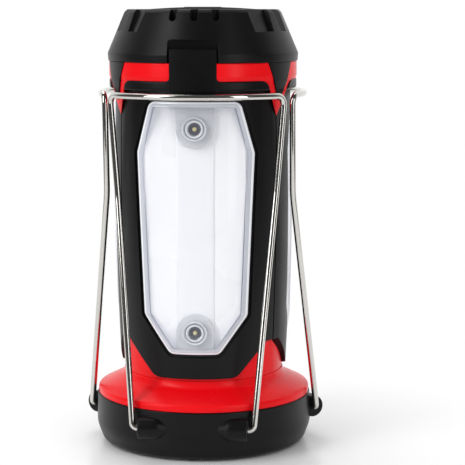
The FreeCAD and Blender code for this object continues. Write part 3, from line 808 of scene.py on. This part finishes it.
@dataclass
class LightStrips:
    """White strip with a sunk middle down each tray, its ends under the lamp seats, in millimetres."""

    wardrobe: Wardrobe
    half_width: float = 8.8
    bottom: float = 60.0
    top: float = 156.0
    back: float = 34.5
    rise: float = 0.3
    edge: float = 0.14
    border: float = 1.6
    sink: float = 0.08
    edge_steps: int = 3
    smooth_angle: float = 30.0

    def build(self) -> None:
        """Model the strip once and lay it in each tray."""
        deselect()
        size = (2 * self.half_width, self.rise, self.top - self.bottom)
        middle = (0, -self.back - self.rise / 2, (self.top + self.bottom) / 2)
        bpy.ops.mesh.primitive_cube_add(size=1, location=Vector(middle) * MM)
        strip = bpy.context.object
        strip.scale = Vector(size) * MM
        bpy.ops.object.transform_apply(location=True, rotation=True, scale=True)
        bpy.ops.object.mode_set(mode="EDIT")
        bpy.ops.mesh.select_all(action="SELECT")
        bpy.ops.mesh.bevel(offset=self.edge * MM, segments=self.edge_steps, affect="EDGES")
        bpy.ops.mesh.select_all(action="DESELECT")
        mesh = edit_mesh(strip)
        front = min(mesh.faces, key=lambda face: face.calc_center_median().y)
        front.select_set(True)
        bmesh.update_edit_mesh(strip.data)
        bpy.ops.mesh.inset(thickness=self.border * MM, depth=-self.sink * MM)
        bpy.ops.object.mode_set(mode="OBJECT")
        bpy.ops.object.shade_smooth_by_angle(angle=math.radians(self.smooth_angle))
        for panel in Panel:
            piece = copies(strip, "light_strip_" + panel.place, [panel.turn])
            self.wardrobe.dress(piece, "strip")
            hang(piece, "housing", "white_reflector")
        bpy.data.objects.remove(strip)


@dataclass
class WireLegs:
    """Three bent steel wire legs, smooth along their length, in metres."""

    wardrobe: Wardrobe
    radius: float = 1.5 * MM
    pin: Vector = field(default_factory=lambda: Vector((17.5, -48.3, 15.8)) * MM)
    foot: Vector = field(default_factory=lambda: Vector((28.7, -48.3, 15.8)) * MM)
    knee: Vector = field(default_factory=lambda: Vector((37.6, -30.2, 124.0)) * MM)
    corner: Vector = field(default_factory=lambda: Vector((41.4, -27.9, 171.8)) * MM)
    bar_middle: float = 48.9 * MM
    bends: tuple[float, float, float] = (2.4 * MM, 60.0 * MM, 4.5 * MM)
    bar_steps: int = 40
    # Point of the bar that its end bend runs towards, and the room left after that bend
    bar_aim: int = 3
    bar_gap: float = 1.0 * MM
    round_steps: int = 6
    smooth_angle: float = 40.0

    def route(self) -> list[Vector]:
        """Centre line of the front leg from pin to pin.

        Returns:
            Points in metres.
        """
        rise = self.bar_middle + self.corner.y
        bar_radius = (self.corner.x ** 2 + rise ** 2) / (2 * rise)
        half = math.asin(self.corner.x / bar_radius)
        angles = [half * (1 - 2 * step / self.bar_steps) for step in range(self.bar_steps + 1)]
        depth = self.bar_middle - bar_radius
        bar = [
            Vector((bar_radius * math.sin(angle), -depth - bar_radius * math.cos(angle), self.corner.z))
            for angle in angles
        ]
        line = [self.pin]
        line += bend(self.pin, self.foot, self.knee, self.bends[0])
        line += bend(self.foot, self.knee, self.corner, self.bends[1])
        line += bend(self.knee, self.corner, bar[self.bar_aim], self.bends[2])
        first = line[-1].x
        middle = [point for point in bar if abs(point.x) < first - self.bar_gap]
        mirror = [Vector((-point.x, point.y, point.z)) for point in reversed(line)]
        return line + middle + mirror

    def build(self) -> None:
        """Model one leg, copy it for the other panels and hang each on its body."""
        deselect()
        bpy.ops.curve.primitive_nurbs_path_add()
        leg = bpy.context.object
        leg.data.splines.clear()
        points = self.route()
        spline = leg.data.splines.new("POLY")
        spline.points.add(len(points) - 1)
        for spot, place in zip(spline.points, points):
            spot.co = (*place, 1.0)
        leg.data.bevel_depth = self.radius
        leg.data.bevel_resolution = self.round_steps
        leg.data.use_fill_caps = True
        only(leg)
        bpy.ops.object.convert(target="MESH")
        leg = bpy.context.object
        bpy.ops.object.shade_smooth_by_angle(angle=math.radians(self.smooth_angle))
        for panel in Panel:
            piece = copies(leg, "steel_leg_" + panel.place, [panel.turn])
            self.wardrobe.dress(piece, "steel_wire")
            hang(piece, "leg_" + panel.place, "steel_wire", "wire_leg_" + panel.place)
        bpy.data.objects.remove(leg)


@dataclass
class FlaredCover:
    """Red cover over the base, turned in one smooth sweep from its lip to the neck.

    Corners are (radius, height, round) in millimetres.
    """

    wardrobe: Wardrobe
    segments: int = 180
    corners: tuple = (
        (49.7, 24.3, 0), (52.1, 24.3, 0.4), (52.1, 27.5, 1.6), (39.2, 33.7, 4.0),
        (39.2, 36.6, 0.3), (38.7, 36.6, 0), (38.7, 31.6, 0), (49.7, 26.3, 0),
    )

    def build(self) -> None:
        """Turn the cover and hang it on the housing."""
        cover = lathed("flared_cover", rounded(self.corners), self.segments, True)
        self.wardrobe.dress(cover, "red_plastic")
        hang(cover, "housing", "red_plastic", "base_cover")


@dataclass(frozen=True)
class SoftBox:
    """One soft light box: its spot and size in metres and its power in watts."""

    name: str
    spot: tuple[float, float, float]
    size: tuple[float, float]
    power: float

    def build(self, aim: Vector) -> None:
        """Hang the box and point it.

        Args:
            aim: What it points at.
        """
        deselect()
        bpy.ops.object.light_add(type="AREA", location=self.spot)
        lamp = bpy.context.object
        lamp.name = self.name
        lamp.data.shape = "RECTANGLE"
        lamp.data.size, lamp.data.size_y = self.size
        lamp.data.energy = self.power
        lamp.rotation_mode = "QUATERNION"
        lamp.rotation_quaternion = (aim - Vector(self.spot)).to_track_quat("-Z", "Y")


@dataclass
class Studio:
    """Camera at the photograph's angle, a pale floor and soft light. Metres and degrees."""

    distance: float = 0.812
    height: float = 0.2149
    azimuth: float = 6.2
    tilt: float = 7.87
    yaw: float = 1.01
    lens: float = 128.7
    world_strength: float = 0.65
    room_edge: tuple[float, float] = (0.0, 0.5)
    room_level: float = 0.08
    floor_size: float = 1.2
    fade_from: float = 0.07
    fade_to: float = 0.17
    floor_drop: float = 0.05 * MM
    floor_colour: str = "F7F7F8"
    floor_roughness: float = 0.24
    floor_ior: float = 1.4
    sensor: float = 36.0
    clip_start: float = 0.01
    aim_height: float = 0.1
    boxes: tuple[SoftBox, ...] = (
        SoftBox("key_box", (-0.85, -0.75, 0.75), (0.45, 1.3), 8.5),
        SoftBox("side_box", (0.85, -0.85, 0.4), (0.3, 1.2), 3.5),
        SoftBox("top_box", (-0.2, 0.4, 1.1), (0.6, 0.6), 4.0),
    )

    def camera(self) -> None:
        """Set the camera up."""
        deselect()
        turn = math.radians(self.azimuth)
        bpy.ops.object.camera_add(
            location=(self.distance * math.sin(turn), -self.distance * math.cos(turn), self.height),
            rotation=(math.radians(90 - self.tilt), 0, math.radians(self.azimuth - self.yaw)),
        )
        camera = bpy.context.object
        camera.data.lens = self.lens
        camera.data.sensor_width = self.sensor
        camera.data.clip_start = self.clip_start
        bpy.context.scene.camera = camera

    def floor(self) -> None:
        """Lay a pale floor that keeps the shadow and turns white away from the lantern."""
        deselect()
        bpy.ops.mesh.primitive_plane_add(size=self.floor_size, location=(0, 0, -self.floor_drop))
        floor = bpy.context.object
        floor.name = "studio_floor"
        material, tree = blank_material("pale_floor")
        where = add_node(tree, "TexCoord").outputs["Object"]
        far = add_node(tree, "VectorMath", {0: where}, operation="LENGTH")
        fade = add_node(
            tree, "MapRange", {"Value": far.outputs["Value"]}, in_From_Min=self.fade_from,
            in_From_Max=self.fade_to, interpolation_type="SMOOTHSTEP",
        )
        path = add_node(tree, "LightPath")
        seen = add_node(tree, "Math", {0: path.outputs["Is Camera Ray"], 1: path.outputs["Is Glossy Ray"]})
        seen = add_node(
            tree, "Math", {0: seen.outputs[0], 1: path.outputs["Is Transmission Ray"]}, use_clamp=True,
        )
        share = add_node(tree, "Math", {0: seen.outputs[0], 1: fade.outputs[0]}, operation="MULTIPLY")
        # Near-white satin laminate: even, with a soft reflection close to what stands on it
        lit = add_node(
            tree, "BsdfPrincipled", in_Base_Color=linear(self.floor_colour),
            in_Roughness=self.floor_roughness, in_IOR=self.floor_ior,
        )
        white = add_node(tree, "Emission", in_Color=linear(WHITE), in_Strength=1.0)
        both = add_node(tree, "MixShader", {0: share.outputs[0], 1: lit.outputs[0], 2: white.outputs[0]})
        add_node(tree, "OutputMaterial", {"Surface": both.outputs[0]})
        floor.data.materials.append(material)

    def world(self) -> None:
        """Surround the scene with white, which gloss and glass see behind the lantern and dimmer in front."""
        world = bpy.data.worlds.new("studio_world")
        bpy.context.scene.world = world
        world.use_nodes = True
        tree = world.node_tree
        tree.nodes.clear()
        path = add_node(tree, "LightPath")
        toward = add_node(tree, "SeparateXYZ", {0: add_node(tree, "TexCoord").outputs["Generated"]})
        room = add_node(
            tree, "MapRange", {"Value": toward.outputs["Y"]}, in_From_Min=self.room_edge[0],
            in_From_Max=self.room_edge[1], in_To_Min=self.room_level, in_To_Max=1.0,
            interpolation_type="SMOOTHSTEP",
        )
        glass = add_node(
            tree, "Math", {0: path.outputs["Is Glossy Ray"], 1: path.outputs["Is Transmission Ray"]},
            use_clamp=True,
        )
        lit = add_node(
            tree, "Mix", {"Factor": glass.outputs[0], 3: room.outputs[0]}, in_2=self.world_strength,
        )
        strength = add_node(
            tree, "Mix", {"Factor": path.outputs["Is Camera Ray"], 2: lit.outputs[0]}, in_3=1.0,
        )
        light = add_node(tree, "Background", {"Strength": strength.outputs[0]}, in_Color=linear(WHITE))
        add_node(tree, "OutputWorld", {"Surface": light.outputs[0]})

    def build(self) -> None:
        """Set up the whole studio."""
        self.camera()
        self.floor()
        self.world()
        for box in self.boxes:
            box.build(Vector((0, 0, self.aim_height)))
        bpy.context.scene.view_settings.view_transform = "Standard"


def main() -> None:
    """Build and dress everything in order."""
    logging.basicConfig(level=logging.INFO, format="%(name)s: %(message)s")
    Studio().build()
    wardrobe = Wardrobe()
    wardrobe.dress_nodes()
    WireLegs(wardrobe).build()
    Windows(wardrobe).build()
    Lamps(wardrobe).build()
    LightStrips(wardrobe).build()
    FlaredCover(wardrobe).build()


if __name__ == "__main__":
    main()
